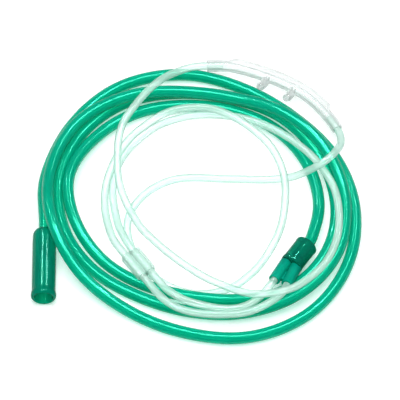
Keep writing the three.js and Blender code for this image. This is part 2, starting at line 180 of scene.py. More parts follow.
# A prong's centre line, from its root on the face piece's own
PRONG_BEND = [
    (0, 0, 0), (-0.0012, -0.003, 0.0004), (-0.0022, -0.0056, 0.0016), (-0.0031, -0.0076, 0.0036),
    (-0.0036, -0.0088, 0.0056),
]

# The loose coil lies round this point of the frame, and the places of the pieces above and the points
# of the routes below are measured from it.
COIL_CENTRE = Vector((0.0055, -0.0123, 0))

# (radius, height) of the coil's centre line at every 24 degrees, counter-clockwise from the +X side.
COIL_STEP = math.radians(24)
COIL = [
    (0.0548, 0.00295), (0.0545, 0.00295), (0.0545, 0.00295), (0.054, 0.00295), (0.055, 0.00295),
    (0.0586, 0.00295), (0.0604, 0.0044), (0.0619, 0.0074), (0.0579, 0.007), (0.0532, 0.0034),
    (0.0494, 0.00295), (0.0504, 0.0059), (0.0536, 0.0038), (0.0604, 0.00295), (0.063, 0.00295),
    (0.0625, 0.00295), (0.0608, 0.0048), (0.0592, 0.0074), (0.0602, 0.0032), (0.0619, 0.00295),
    (0.066, 0.00295), (0.0672, 0.00295), (0.0662, 0.00295), (0.0635, 0.00295), (0.0597, 0.00295),
    (0.056, 0.00295), (0.0566, 0.00295), (0.0606, 0.0032), (0.0668, 0.0067), (0.0686, 0.0072),
    (0.0665, 0.0079), (0.0633, 0.0109), (0.0586, 0.0138), (0.0572, 0.009), (0.0588, 0.0086),
    (0.065, 0.0092), (0.0704, 0.0088), (0.0702, 0.0096), (0.069, 0.0142), (0.0672, 0.0082),
    (0.0652, 0.0036), (0.0679, 0.00295), (0.0736, 0.00295), (0.076, 0.00295), (0.0742, 0.00295),
    (0.0708, 0.00295), (0.0674, 0.00295), (0.0648, 0.00295), (0.0669, 0.00295), (0.0723, 0.00295),
    (0.075, 0.00295), (0.0737, 0.00295), (0.0727, 0.00295),
]

# Between a branch of the Y connector and the slide, then between the slide and the face piece.
LEFT_TO_SLIDE = [
    (0.0284, -0.0508, 0.0092), (0.0243, -0.055, 0.0092), (0.0197, -0.0574, 0.0089),
    (0.0137, -0.0584, 0.0086), (0.0069, -0.0578, 0.0086), (0, -0.0564, 0.0092),
    (-0.0069, -0.0548, 0.0102), (-0.0114, -0.0519, 0.0104), (-0.0156, -0.0484, 0.0098),
]
LEFT_TO_FACE = [
    (-0.0344, -0.0196, 0.0076), (-0.0364, -0.0146, 0.0054), (-0.038, -0.0076, 0.0034),
    (-0.0392, -0.0004, 0.0022), (-0.04, 0.0056, 0.0019), (-0.04, 0.0106, 0.0019),
    (-0.0392, 0.0166, 0.0022), (-0.0376, 0.022, 0.0028), (-0.0354, 0.0266, 0.0036),
    (-0.0318, 0.031, 0.0048), (-0.0274, 0.0352, 0.0058), (-0.0228, 0.0386, 0.0068),
    (-0.0182, 0.0412, 0.0076), (-0.0136, 0.0428, 0.0082), (-0.0068, 0.0446, 0.0088),
    (0, 0.0452, 0.0094), (0.0068, 0.045, 0.0098), (0.0182, 0.0432, 0.0104), (0.0282, 0.0396, 0.0108),
    (0.0366, 0.0346, 0.0112), (0.041, 0.0312, 0.0116), (0.0456, 0.027, 0.012), (0.0502, 0.0222, 0.0122),
    (0.054, 0.0176, 0.0122), (0.0568, 0.0126, 0.0122), (0.0592, 0.0088, 0.012),
    (0.0614, 0.0032, 0.0118), (0.0627, -0.0026, 0.0118), (0.0632, -0.009, 0.0122),
    (0.0632, -0.0132, 0.0124), (0.0629, -0.019, 0.0126), (0.0618, -0.0246, 0.0126),
    (0.06, -0.0298, 0.0126), (0.0577, -0.0348, 0.0126), (0.0536, -0.0404, 0.0128),
    (0.0485, -0.0456, 0.0134), (0.0449, -0.0488, 0.014), (0.0412, -0.0512, 0.0145),
    (0.0366, -0.0528, 0.0148), (0.032, -0.0536, 0.0146), (0.0274, -0.0538, 0.014),
    (0.0228, -0.0528, 0.0126), (0.0182, -0.0506, 0.011), (0.0137, -0.0482, 0.0098),
    (0.0092, -0.0454, 0.0089), (0.0046, -0.0432, 0.0087), (0, -0.0404, 0.0089),
    (-0.0046, -0.0374, 0.0094), (-0.0092, -0.034, 0.0098), (-0.0164, -0.0276, 0.0099),
    (-0.023, -0.0204, 0.0094), (-0.0266, -0.016, 0.0088), (-0.0294, -0.0106, 0.0082),
    (-0.032, -0.0054, 0.008), (-0.0344, -0.0002, 0.0088), (-0.0362, 0.0046, 0.0104),
    (-0.0374, 0.0094, 0.012), (-0.0378, 0.0154, 0.013), (-0.0378, 0.0206, 0.0136),
    (-0.0374, 0.0286, 0.0142), (-0.0362, 0.0346, 0.0148), (-0.0342, 0.0398, 0.0152),
    (-0.0316, 0.044, 0.0154), (-0.029, 0.048, 0.0152), (-0.0252, 0.0534, 0.0152),
    (-0.0206, 0.059, 0.0144), (-0.016, 0.064, 0.0126), (-0.0115, 0.0684, 0.0096),
    (-0.0069, 0.071, 0.0088), (-0.0023, 0.0726, 0.0082),
]
RIGHT_TO_SLIDE = [
    (0.0368, -0.0518, 0.0107), (0.032, -0.0556, 0.0106), (0.0266, -0.059, 0.0104),
    (0.0206, -0.0612, 0.0101), (0.0137, -0.062, 0.01), (0.0069, -0.0621, 0.01), (0, -0.0615, 0.01),
    (-0.0069, -0.06, 0.01), (-0.0128, -0.057, 0.0099), (-0.0178, -0.0524, 0.0095),
]
RIGHT_TO_FACE = [
    (-0.0396, -0.0208, 0.0078), (-0.0416, -0.0134, 0.0062), (-0.043, -0.0064, 0.0048),
    (-0.0436, 0, 0.0042), (-0.0436, 0.006, 0.0042), (-0.0428, 0.0118, 0.0046), (-0.0412, 0.017, 0.0054),
    (-0.039, 0.0224, 0.0066), (-0.0358, 0.0278, 0.008), (-0.0322, 0.0326, 0.0092),
    (-0.0275, 0.0366, 0.0106), (-0.0228, 0.0398, 0.012), (-0.0182, 0.0426, 0.0132),
    (-0.0136, 0.0444, 0.0138), (-0.0092, 0.0456, 0.0142), (-0.0046, 0.046, 0.0144), (0, 0.046, 0.0146),
    (0.0046, 0.0454, 0.0147), (0.0092, 0.044, 0.0148), (0.0138, 0.0416, 0.0148),
    (0.0184, 0.0388, 0.0148), (0.0228, 0.0354, 0.0146), (0.0274, 0.0312, 0.0142),
    (0.0312, 0.0272, 0.0136), (0.0344, 0.0224, 0.0126), (0.0366, 0.0178, 0.0116),
    (0.0382, 0.0126, 0.0104), (0.039, 0.0076, 0.0088), (0.039, 0.002, 0.0072),
    (0.0384, -0.0042, 0.0058), (0.0374, -0.0102, 0.0046), (0.0352, -0.0166, 0.0034),
    (0.032, -0.0232, 0.0025), (0.0292, -0.028, 0.002), (0.0252, -0.0336, 0.0018),
    (0.0206, -0.0382, 0.0018), (0.0169, -0.0416, 0.0018), (0.0114, -0.0444, 0.0018),
    (0.0046, -0.0462, 0.0018), (-0.0022, -0.0464, 0.0018), (-0.009, -0.0448, 0.0018),
    (-0.016, -0.0412, 0.0018), (-0.0224, -0.036, 0.0018), (-0.0276, -0.0296, 0.0018),
    (-0.031, -0.0226, 0.0018), (-0.033, -0.0154, 0.0018), (-0.0332, -0.0094, 0.0018),
    (-0.0324, -0.0044, 0.0018), (-0.0306, 0, 0.0018), (-0.0274, 0.0046, 0.0018),
    (-0.0229, 0.0092, 0.0018), (-0.0182, 0.0122, 0.0018), (-0.0136, 0.0144, 0.0018),
    (-0.0092, 0.0154, 0.0018), (-0.0046, 0.0158, 0.0019), (0.0024, 0.0156, 0.002),
    (0.0092, 0.015, 0.0022), (0.0184, 0.0144, 0.0028), (0.0252, 0.0138, 0.0034),
    (0.032, 0.0132, 0.0044),
]
# The right tube's last stretch, up and over to the face piece's right end.
RIGHT_LAST = [
    (0.0388, 0.0128, 0.006), (0.0448, 0.0126, 0.009), (0.0492, 0.0126, 0.0126),
    (0.0534, 0.0132, 0.0158), (0.0572, 0.0148, 0.0176), (0.0602, 0.0176, 0.0179),
    (0.0626, 0.0216, 0.0166), (0.0642, 0.026, 0.0134), (0.0648, 0.0302, 0.0106),
    (0.0644, 0.0346, 0.0088),
]
# The face piece's centre line, from its left end to its right one.
FACE_POINTS = [
    (0.0032, 0.0731, 0.008), (0.0137, 0.0729, 0.008), (0.0224, 0.0705, 0.008), (0.0314, 0.067, 0.008),
    (0.0403, 0.0626, 0.008), (0.0492, 0.0566, 0.008), (0.054, 0.0516, 0.008), (0.0582, 0.0463, 0.008),
    (0.0612, 0.042, 0.008), (0.0632, 0.0382, 0.008),
]

# Soft PVC, in the scene's linear colours
CLOUD_SCALE = 105.0
CLOUD_RANGE = (0.3, 0.7)
GRAIN_SCALE = 1260.0
GRAIN_STRENGTH = 0.004
GRAIN_HEIGHT = 0.0002
PVC_IOR = 1.36
EDGE_SHINE = 0.05
RIM_BLEND = 0.5
WALL_BLEND = 0.35
# The colour mix node's sockets go by number, as several of them have the same name.
MIX_FACTOR, MIX_COLOUR_A, MIX_COLOUR_B, MIX_COLOUR_RESULT = 0, 6, 7, 2
PLASTICS = {
    "green_tubing": dict(
        dark=(0.0, 0.55, 0.345),
        light=(0.003, 0.61, 0.4),
        rim=(0.0, 0.27, 0.17),
        see=(0.04, 0.5),
        gloss=(0.08, 0.12),
        glint=(0.1, 1.0, 0.72),
        tint=(0.1, 0.85, 0.62),
        shadow=(0.72, 0.94, 0.89),
    ),
    # The bore's wall is the same PVC as the tubing, drawn much darker: painted shade inside the lumen.
    "green_bore_painted_shade": dict(
        dark=(0.0, 0.2, 0.11),
        light=(0.002, 0.28, 0.16),
        rim=(0.0, 0.17, 0.11),
        see=(0.1, 0.45),
        gloss=(0.15, 0.25),
        glint=(0.1, 1.0, 0.72),
        tint=(0.1, 0.8, 0.58),
        shadow=(0.72, 0.94, 0.89),
    ),
    "green_branch": dict(
        dark=(0.0, 0.52, 0.37),
        light=(0.002, 0.58, 0.42),
        rim=(0.0, 0.14, 0.09),
        see=(0.03, 0.5),
        gloss=(0.05, 0.09),
        glint=(0.2, 1.0, 0.85),
        tint=(0.04, 0.78, 0.6),
        shadow=(0.65, 0.9, 0.84),
        shine=1.0,
    ),
    "green_collar": dict(
        dark=(0.0, 0.2, 0.135),
        light=(0.001, 0.26, 0.175),
        rim=(0.0, 0.09, 0.055),
        see=(0.1, 0.5),
        gloss=(0.03, 0.06),
        glint=(0.2, 1.0, 0.8),
        tint=(0.04, 0.7, 0.5),
        shadow=(0.6, 0.86, 0.78),
        shine=1.0,
    ),
    "green_fitting": dict(
        dark=(0.0, 0.29, 0.19),
        light=(0.001, 0.37, 0.245),
        rim=(0.0, 0.09, 0.055),
        see=(0.1, 0.5),
        gloss=(0.05, 0.09),
        glint=(0.2, 1.0, 0.8),
        tint=(0.04, 0.7, 0.5),
        shadow=(0.6, 0.86, 0.78),
        shine=0.6,
    ),
    "clear_tubing": dict(
        dark=(0.69, 0.93, 0.85),
        light=(0.73, 0.94, 0.87),
        rim=(0.3, 0.56, 0.46),
        see=(0.04, 0.64),
        gloss=(0.08, 0.14),
        glint=(1.0, 1.0, 1.0),
        tint=(0.97, 1.0, 0.99),
        shadow=(0.95, 0.975, 0.97),
    ),
    "clear_keeper": dict(
        dark=(0.72, 0.92, 0.85),
        light=(0.76, 0.94, 0.88),
        rim=(0.42, 0.62, 0.54),
        see=(0.15, 0.86),
        gloss=(0.06, 0.12),
        glint=(1.0, 1.0, 1.0),
        tint=(0.97, 1.0, 0.99),
        shadow=(0.96, 0.98, 0.975),
    ),
    "clear_fitting": dict(
        dark=(0.72, 0.75, 0.745),
        light=(0.76, 0.79, 0.785),
        rim=(0.56, 0.6, 0.59),
        see=(0.08, 0.84),
        gloss=(0.06, 0.12),
        glint=(1.0, 1.0, 1.0),
        tint=(0.98, 1.0, 0.995),
        shadow=(0.94, 0.955, 0.95),
    ),
}

# Studio
WORLD_STRENGTH = 0.3
KEY_PLACE, KEY_SIZE, KEY_POWER = (-0.05, -0.05, 1.35), (1.1, 1.1), 19.5
# Lamps that only the highlights show: name, place, size and power
GLEAMS = [
    ("gleam", (-0.05, 0.2, 1.3), (1.4, 0.5), 62.0),
    ("left_gleam", (-0.55, 0.8, 1.15), (0.05, 0.8), 15.0),
    ("right_gleam", (0.47, 0.72, 1.23), (0.05, 0.8), 12.0),
]
FLOOR_HALF = 6
FLOOR_TONE = 0.93
FLOOR_LIFT = 0.18


# Curves


def smooth(points, spans=16):
    """Points along the centripetal Catmull-Rom curve through the given points."""
    points = np.array([tuple(p) for p in points], float)
    first = 2 * points[0] - points[1]
    last = 2 * points[-1] - points[-2]
    knots = np.vstack([first, points, last])
    out = []
    for a, b, c, d in zip(knots, knots[1:], knots[2:], knots[3:]):
        ab, bc, cd = (math.sqrt(np.linalg.norm(q - p)) for p, q in ((a, b), (b, c), (c, d)))
        start = ((b - a) / ab - (c - a) / (ab + bc) + (c - b) / bc) * bc
        end = ((c - b) / bc - (d - b) / (bc + cd) + (d - c) / cd) * bc
        t = np.arange(spans)[:, None] / spans
        out.append(
            b
            + start * t
            + (3 * (c - b) - 2 * start - end) * t**2
            + (2 * (b - c) + start + end) * t**3
        )
    return np.vstack(out + [points[-1:]])


def evenly(path, step):
    """The same path with points an even distance apart."""
    along = np.concatenate([[0], np.cumsum(np.linalg.norm(np.diff(path, axis=0), axis=1))])
    places = np.linspace(0, along[-1], round(along[-1] / step) + 1)
    return np.stack([np.interp(places, along, path[:, k]) for k in range(3)], axis=1)


def ramped(share):
    """The share, 0 to 1, with no kink at either end."""
    return share * share * (3 - 2 * share)


def eased(path, step, reach, held):
    """The path with its small kinks evened out over the reach, and its two held ends as they are."""
    far = 3 * reach
    width = int(far / step)
    weights = np.exp(-0.5 * (np.arange(-width, width + 1) * step / reach) ** 2)
    weights /= weights.sum()
    ends = np.pad(path, ((width, width), (0, 0)), mode="edge")
    soft = np.stack([np.convolve(ends[:, k], weights, "valid") for k in range(3)], axis=1)
    count = len(path)
    from_end = np.minimum(np.arange(count), np.arange(count)[::-1]) * step
    share = ramped(np.clip((from_end - held) / far, 0, 1)[:, None])
    return path * (1 - share) + soft * share


def beyond(path, steps):
    """The point that the path would reach so many of its last steps past its end."""
    return path[-1] + (path[-1] - path[-2]) * steps


def frames(path):
    """Two directions across the path at each of its points, turned as little as possible along it."""
    tangents = np.gradient(path, axis=0)
    tangents /= np.linalg.norm(tangents, axis=1, keepdims=True)
    side = np.cross(tangents[0], (0, 0, 1))
    sides = []
    for tangent in tangents:
        side = side - tangent * side.dot(tangent)
        side /= np.linalg.norm(side)
        sides.append(side)
    sides = np.array(sides)
    return sides, np.cross(sides, tangents)


# Meshes


def around(sides):
    """Even angles once round, without the full turn itself."""
    return np.linspace(0, 2 * math.pi, sides, endpoint=False)


def in_frame(points):
    """Points measured from the coil's centre, in the frame."""
    return np.array([tuple(p) for p in points]) + np.array(COIL_CENTRE)


def add(name, data):
    """A new object in the scene."""
    made = bpy.data.objects.new(name, data)
    bpy.context.collection.objects.link(made)
    return made


def make_mesh(name, verts, faces):
    mesh = bpy.data.meshes.new(name)
    mesh.from_pydata([tuple(v) for v in verts], [], faces)
    mesh.update()
    return add(name, mesh)


def shade(piece, angle=35):
    """Smooth shading, with the edges sharper than the angle kept crisp."""
    mesh = piece.data
    mesh.polygons.foreach_set("use_smooth", [True] * len(mesh.polygons))
    mesh.set_sharp_from_angle(angle=math.radians(angle))
    mesh.update()
    return piece


def rings_to_piece(name, rings, closed=True):
    """A piece from rings of points. Closed joins the last ring to the first, as round a tube's wall."""
    count, sides = len(rings), len(rings[0])
    verts = np.concatenate(rings)
    faces = []
    for i in range(count if closed else count - 1):
        a, b = i * sides, ((i + 1) % count) * sides
        for j in range(sides):
            k = (j + 1) % sides
            faces.append((a + j, a + k, b + k, b + j))
    if not closed:
        faces.append(tuple(range(sides))[::-1])
        faces.append(tuple((count - 1) * sides + j for j in range(sides)))
    return make_mesh(name, verts, faces)


def round_rings(path, radii, sides):
    across, up = frames(path)
    angles = around(sides)
    rings = []
    for centre, a, b, radius in zip(path, across, up, np.broadcast_to(radii, len(path))):
        rings.append(centre + radius * (np.cos(angles)[:, None] * a + np.sin(angles)[:, None] * b))
    return rings


def hollow_tube(name, path, outer, bore, sides):
    """A length of tubing with its bore open at both ends. The bore's faces take the second material."""
    outside = round_rings(path, outer / 2, sides)
    inside = round_rings(path, bore / 2, sides)
    piece = shade(rings_to_piece(name, outside + inside[::-1]))
    walls = np.arange(2 * len(path)) >= len(path)
    piece.data.materials.append(None)
    piece.data.materials.append(None)
    piece.data.polygons.foreach_set("material_index", np.repeat(walls, sides).astype(int))
    return piece


def rod(name, path, radii, sides=48):
    """A solid bar along a path, for joining to a piece or cutting from it."""
    return rings_to_piece(name, round_rings(path, radii, sides), closed=False)


def apply_all(piece):
    """Makes the piece's modifiers part of its mesh."""
    graph = bpy.context.evaluated_depsgraph_get()
    done = bpy.data.meshes.new_from_object(piece.evaluated_get(graph))
    done.name = piece.name
    piece.modifiers.clear()
    piece.data = done
    return piece


def combine(piece, others, operation):
    """Joins the others to the piece or cuts them from it, one by one."""
    for other in others:
        cut = piece.modifiers.new("combine", "BOOLEAN")
        cut.operation = operation
        cut.solver = "MANIFOLD"
        cut.object = other
        apply_all(piece)
        bpy.data.objects.remove(other)
    return piece


def remould(piece, voxel, rounds):
    """Remeshes the piece evenly and softens its inner corners, as a moulding has them."""
    remesh = piece.modifiers.new("remesh", "REMESH")
    remesh.mode = "VOXEL"
    remesh.voxel_size = voxel
    soften = piece.modifiers.new("soften", "SMOOTH")
    soften.factor = 0.5
    soften.iterations = rounds
    return apply_all(piece)


def line(start, end, count=2):
    return np.linspace(np.array(start), np.array(end), count)


# Routes


def supply_route():
    points = [
        COLLAR_TOP + COLLAR_DIRECTION * along
        for along in (COLLAR_SOCKET_DEPTH - SOCKET_CLEARANCE, 0, -COLLAR_STRAIGHT)
    ]
    points.append(COLLAR_LEAD)
    for i, (radius, height) in enumerate(COIL):
        angle = i * COIL_STEP
        points.append((radius * math.cos(angle), radius * math.sin(angle), height))
    points.append(CUP_AXIS + CUP_APPROACH)
    for back in (CUP_STRAIGHT, 0, SOCKET_CLEARANCE - CUP_SOCKET_DEPTH):
        points.append(CUP_AXIS + Vector((0, back, 0)))
    return in_frame(smooth(points))


def branch(side):
    """Root, tip and direction of a branch: side -1 carries the left head tube and 1 the right one."""
    bottom = COLLAR_TOP + COLLAR_DIRECTION * COLLAR_LENGTH
    along = Vector((COLLAR_DIRECTION.x, COLLAR_DIRECTION.y, 0)).normalized()
    along = Matrix.Rotation(BRANCH_TURN, 3, "Z") @ along
    sideways = Vector((-along.y, along.x, 0))
    root = bottom + sideways * side * BRANCH_ROOT_SPACING / 2
    tip = bottom + along * BRANCH_LENGTH + sideways * side * BRANCH_TIP_SPACING / 2
    tip.z += BRANCH_RISE
    return root, tip, (tip - root).normalized()


def slide_line(side, along):
    """A point on one bore's axis, so far along it from the slide's middle."""
    return SLIDE_CENTRE + SLIDE_SIDEWAYS * side * SLIDE_BORE_SPACING / 2 + SLIDE_DIRECTION * along


def face_route():
    return evenly(smooth(FACE_POINTS), FACE_STEP)


def head_route(side, to_slide, to_face, face_end, inward):
    root, tip, direction = branch(side)
    seat = BRANCH_SOCKET_DEPTH - SOCKET_CLEARANCE
    points = [tip - direction * seat, tip - direction * seat / 2, tip + direction * BRANCH_LEAD]
    points += to_slide
    for share in (-1, -0.5, 0, 0.5, 1):
        points.append(slide_line(side, share * SLIDE_STRAIGHT))
    points += to_face + [face_end, inward]
    return in_frame(smooth(points))


def tube_paths():
    face = face_route()
    seat = round(FACE_SEAT * (len(face) - 1))
    left = head_route(-1, LEFT_TO_SLIDE, LEFT_TO_FACE, face[0], face[seat])
    right = head_route(1, RIGHT_TO_SLIDE, RIGHT_TO_FACE + RIGHT_LAST, face[-1], face[-1 - seat])
    supply = eased(
        evenly(supply_route(), SUPPLY_STEP), SUPPLY_STEP, SUPPLY_EASE, COLLAR_SOCKET_DEPTH
    )
    held = BRANCH_SOCKET_DEPTH + BRANCH_LEAD
    left = eased(evenly(left, HEAD_STEP), HEAD_STEP, HEAD_EASE, held)
    right = eased(evenly(right, HEAD_STEP), HEAD_STEP, HEAD_EASE, held)
    return supply, left, right


# Fittings


def lathe_rings(profile, sides, swell=None):
    """Rings about the Y axis from (radius, y) pairs. swell(radius, y) is how far ribs stand out there."""
    angles = around(sides)
    rings = []
    for radius, y in profile:
        r = np.full(sides, radius)
        if swell is not None:
            ridge = np.maximum(0, np.cos(CUP_RIBS * angles)) ** CUP_RIB_SHARPNESS
            r = r + swell(radius, y) * ridge
        rings.append(np.stack([r * np.cos(angles), np.full(sides, y), r * np.sin(angles)], axis=1))
    return rings


def arc(centre, radius, turn, count):
    """(radius, y) points on an arc between two angles, in degrees from the radial direction."""
    turns = [math.radians(a) for a in np.linspace(*turn, count)]
    return [(centre[0] + radius * math.cos(a), centre[1] + radius * math.sin(a)) for a in turns]


def end_connector():
    """The cup: a round shoulder, a barrel with faint ribs, a wider lip and a bore with a lumen behind it."""
    core = CUP_BARREL / 2 - CUP_RIB_HEIGHT
    neck = SUPPLY_DIAMETER / 2 + SUPPLY_SEAT_CLEARANCE
    land = neck + CUP_NECK_LAND
    lip = CUP_DIAMETER / 2
    lip_top = CUP_LIP_REACH - CUP_LENGTH
    outside = [(neck, 0), (land, -CUP_NECK_DROP)]
    for turn in np.radians(np.linspace(*CUP_SHOULDER_TURN, 16)):
        outside.append((land + (core - land) * math.sin(turn), -CUP_SHOULDER * (1 - math.cos(turn))))
    barrel = np.linspace(-CUP_SHOULDER - CUP_BARREL_GAP, lip_top + CUP_BARREL_GAP, 40)
    outside += [(core, y) for y in barrel]
    for share in np.linspace(0.08, 1, 10):
        outside.append((core + (lip - core) * ramped(share), lip_top - CUP_LIP_SLOPE * share))
    outside += arc((lip - CUP_LIP_RADIUS, CUP_LIP_RADIUS - CUP_LENGTH), CUP_LIP_RADIUS, CUP_LIP_TURN, 8)
    mouth, end = CUP_BORE_MOUTH / 2, CUP_BORE_FLOOR / 2
    rim = (mouth + CUP_RIM_RADIUS, CUP_RIM_RADIUS - CUP_LENGTH)
    inside = arc(rim, CUP_RIM_RADIUS, CUP_RIM_TURN, 8)
    floor = CUP_BORE_DEPTH - CUP_LENGTH
    for share in np.linspace(0, 1, 16):
        inside.append((mouth + (end - mouth) * share, CUP_BORE_LEAD - CUP_LENGTH + CUP_BORE_RUN * share))
    corner = (end - CUP_FLOOR_RADIUS, floor - CUP_FLOOR_RADIUS)
    inside += arc(corner, CUP_FLOOR_RADIUS, CUP_FLOOR_TURN, 5)
    inside += [(CUP_LUMEN / 2, floor), (CUP_LUMEN / 2, -CUP_SOCKET_DEPTH), (neck, -CUP_SOCKET_DEPTH)]
    top, bottom = -CUP_SHOULDER - CUP_RIB_GAP, lip_top

    def swell(radius, y):
        if radius < core - TOLERANCE or y > top or y < bottom:
            return 0
        return CUP_RIB_HEIGHT * min(1, (top - y) / CUP_RIB_FADE, (y - bottom) / CUP_RIB_FADE)

    rings = lathe_rings(outside + inside, CUP_RIB_POINTS * CUP_RIBS, swell)
    place = np.array(CUP_AXIS) + np.array(COIL_CENTRE)
    return shade(rings_to_piece("end_connector_moulding", [r + place for r in rings]))


def y_connector():
    """The collar, with a raised rim at each end, and two branches joined by a thin web."""
    radius = COLLAR_DIAMETER / 2
    top = Vector(in_frame([COLLAR_TOP])[0])
    along = COLLAR_DIRECTION
    profile = [(y, radius + inset) for y, inset in COLLAR_RIM]
    profile += [(COLLAR_LENGTH - y, radius + inset) for y, inset in reversed(COLLAR_RIM)]
    path = np.array([tuple(top + along * y) for y, r in profile])
    body = rod("y_connector_moulding", path, [r for y, r in profile], COLLAR_SIDES)
    joined, cuts, roots, tips = [], [], [], []
    for side in (-1, 1):
        root, tip, direction = branch(side)
        root, tip = (Vector(point) for point in in_frame([root, tip]))
        roots.append(root)
        tips.append(tip)
        start = root - direction * BRANCH_INSET
        stations = np.array([tuple(p) for p in (start, root, tip - direction * BRANCH_TIP_EDGE, tip)])
        radii = [BRANCH_DIAMETER / 2 + swell for swell in BRANCH_SWELL]
        joined.append(rod("branch", stations, radii, BRANCH_SIDES))
        socket = tip - direction * BRANCH_SOCKET_DEPTH
        seat = HEAD_DIAMETER / 2 + BRANCH_SEAT_CLEARANCE
        cuts.append(rod("socket", line(socket, tip + direction * CUT_PAST), seat))
        lumen = line(start, socket + direction * BRANCH_LUMEN_OVERLAP)
        cuts.append(rod("lumen", lumen, BRANCH_LUMEN / 2, BRANCH_LUMEN_SIDES))
    middle, end = (roots[0] + roots[1]) / 2, (tips[0] + tips[1]) / 2
    across = (tips[1] - tips[0]).normalized()
    down = end - middle
    lift = across.cross(down).normalized() * WEB_THICKNESS / 2
    web = []
    for share in WEB_SPAN:
        centre = middle + down * share
        corners = [across * x * WEB_WIDTH / 2 + lift * z for x, z in SQUARE]
        web.append(np.array([tuple(centre + corner) for corner in corners]))
    joined.append(rings_to_piece("web", web, closed=False))
    socket = line(top - along * CUT_PAST, top + along * COLLAR_SOCKET_DEPTH)
    cuts.append(rod("socket", socket, SUPPLY_DIAMETER / 2 + SUPPLY_SEAT_CLEARANCE))
    lumen = line(top + along * COLLAR_LUMEN_START, top + along * (COLLAR_LENGTH - COLLAR_FLOOR))
    cuts.append(rod("lumen", lumen, COLLAR_LUMEN / 2))
    combine(body, joined, "UNION")
    shade(combine(body, cuts, "DIFFERENCE"))
    # The branches take the second material.
    for face in body.data.polygons:
        face.material_index = int((face.center - top).dot(along) > COLLAR_LENGTH + TOLERANCE)
    return body


def slide():
    """A flat sleeve with a shallow groove between its two bores and square-cut, lightly broken ends."""
    centre = Vector(in_frame([SLIDE_CENTRE])[0])
    angles = around(SLIDE_SIDES)
    x, z = np.cos(angles), np.sin(angles)
    wide = SLIDE_WIDTH / 2 * np.sign(x) * np.abs(x) ** SLIDE_SQUARENESS
    tall = SLIDE_HEIGHT / 2 * np.sign(z) * np.abs(z) ** SLIDE_SQUARENESS
    tall = tall * (1 - SLIDE_GROOVE_DEPTH * np.exp(-((wide / SLIDE_GROOVE_WIDTH) ** 2)))
    rings = []
    half = SLIDE_LENGTH / 2
    shoulder = half - SLIDE_EDGE
    for y, inset in ((-half, SLIDE_EDGE), (-shoulder, 0), (shoulder, 0), (half, SLIDE_EDGE)):
        scale = 1 - inset / (SLIDE_HEIGHT / 2)
        ring = np.outer(wide - np.sign(wide) * np.minimum(inset, abs(wide)), SLIDE_SIDEWAYS)
        ring += np.outer(tall * scale, (0, 0, 1))
        rings.append(ring + np.array(centre + SLIDE_DIRECTION * y))
    body = rings_to_piece("slide_moulding", rings, closed=False)
    cuts = []
    for side in (-1, 1):
        ends = in_frame([slide_line(side, share * (half + CUT_PAST)) for share in (-1, 1)])
        bore = HEAD_DIAMETER / 2 + SLIDE_BORE_CLEARANCE
        cuts.append(rod("bore", line(*ends), bore, SLIDE_BORE_SIDES))
    return shade(combine(body, cuts, "DIFFERENCE"))


def face_section(path, share):
    """Rings of the face piece: round cuffs at both ends and a wider body that flares outwards between."""
    across, up = frames(path)
    angles = around(FACE_SIDES)
    radius = FACE_DIAMETER / 2
    outer = np.clip(np.cos(angles), 0, 1)
    rings = []
    for centre, inward, s in zip(path, across, share):
        rise = ramped(np.clip(min(s - FACE_CUFF, 1 - FACE_CUFF - s) / FACE_CUFF_RISE, 0, 1))
        x = radius * np.cos(angles) + FACE_FLARE * rise * outer**FACE_FLARE_ROUNDNESS
        z = radius * np.sin(angles) * (1 - FACE_FLARE_THINNING * rise * outer)
        rings.append(centre - x[:, None] * inward + z[:, None] * np.array([0, 0, 1.0]))
    return rings


def prong_route(root):
    return smooth([np.array(root) + np.array(p) for p in PRONG_BEND], 8)


def nasal_prong_piece():
    """The curved body with its two hollow prongs, moulded as one, and the head tubes' lumen through it."""
    face = face_route() + np.array(COIL_CENTRE)
    share = np.linspace(0, 1, len(face))
    body = rings_to_piece("nasal_prong_moulding", face_section(face, share), closed=False)
    joined, cuts = [], []
    for place in PRONG_PLACES:
        path = evenly(prong_route(face[round(place * (len(face) - 1))]), PRONG_STEP)
        along = np.linspace(0, 1, len(path))
        radii = PRONG_DIAMETER / 2 - PRONG_TAPER * along
        radii = radii + PRONG_ROOT_SWELL * np.exp(-((along / PRONG_ROOT_SHARE) ** 2))
        tip = np.clip((1 - along) / PRONG_TIP_SHARE, 0, 1)
        radii = radii - PRONG_TIP_ROUNDING * (1 - np.sqrt(np.clip(1 - (1 - tip) ** 2, 0, 1)))
        joined.append(rod("prong", path, radii, PRONG_SIDES))
        bore = np.vstack([path, beyond(path, 4)])
        cuts.append(rod("prong_bore", bore, PRONG_BORE / 2, FACE_BORE_SIDES))
    combine(body, joined, "UNION")
    remould(body, FACE_VOXEL, FACE_SOFTENING)
    lumen = np.vstack([beyond(face[::-1], 2), face, beyond(face, 2)])
    seat = HEAD_DIAMETER / 2 + FACE_SEAT_CLEARANCE
    cuts.append(rod("lumen", lumen, seat, FACE_BORE_SIDES))
    return shade(combine(body, cuts, "DIFFERENCE"), 40)


# Materials


def node(tree, kind, **values):
    """A node with its settings, or its inputs where the name is one."""
    made = tree.nodes.new(kind)
    for name, value in values.items():
        if hasattr(made, name):
            setattr(made, name, value)
        else:
            made.inputs[name.replace("_", " ")].default_value = value
    return made


